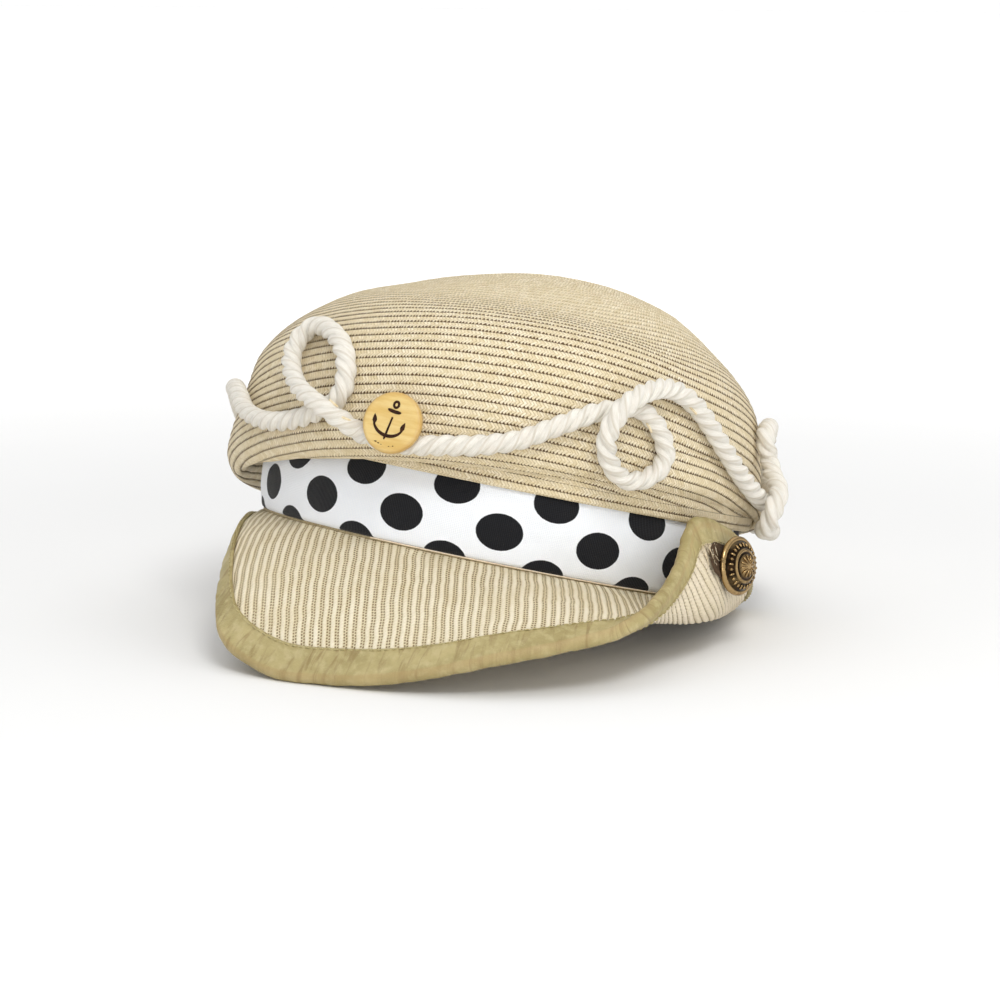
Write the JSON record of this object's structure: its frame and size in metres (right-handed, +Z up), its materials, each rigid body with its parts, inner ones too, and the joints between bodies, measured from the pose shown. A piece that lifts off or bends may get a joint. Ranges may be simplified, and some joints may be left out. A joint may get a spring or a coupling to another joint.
{
  "type": "straw hat",
  "caption": "Puffy straw braid cap with a dotted fabric band, a ribbed straw peak turned up at one side with leather edging, a looped rope trim and a wooden and a brass button.",
  "frame": {"origin": "centre of the bounding box in plan, on the table plane", "axes": "+Z up from the table, -Y the way the peak points, +X to the viewer's right where the peak is turned up"},
  "size_m": [0.2174, 0.2744, 0.1308],
  "materials": {
    "straw_braid": "natural plaited straw, matt with a dry sheen",
    "white_jersey": "white knitted jersey with black oval dots",
    "ribbed_straw": "fine straw cords sewn side by side",
    "olive_leather": "soft olive leather, matt",
    "cotton_rope": "cream three-strand cotton rope",
    "button_wood": "light varnished wood with a burnt motif",
    "antique_brass": "dark antique brass with a worn rim"
  },
  "bodies": {
    "root": {"crown": "straw_braid", "band": "white_jersey", "peak": "ribbed_straw", "peak_binding": "olive_leather", "rope_trim": "cotton_rope", "wood_button": "button_wood", "brass_button": "antique_brass"}
  },
  "joints": []
}
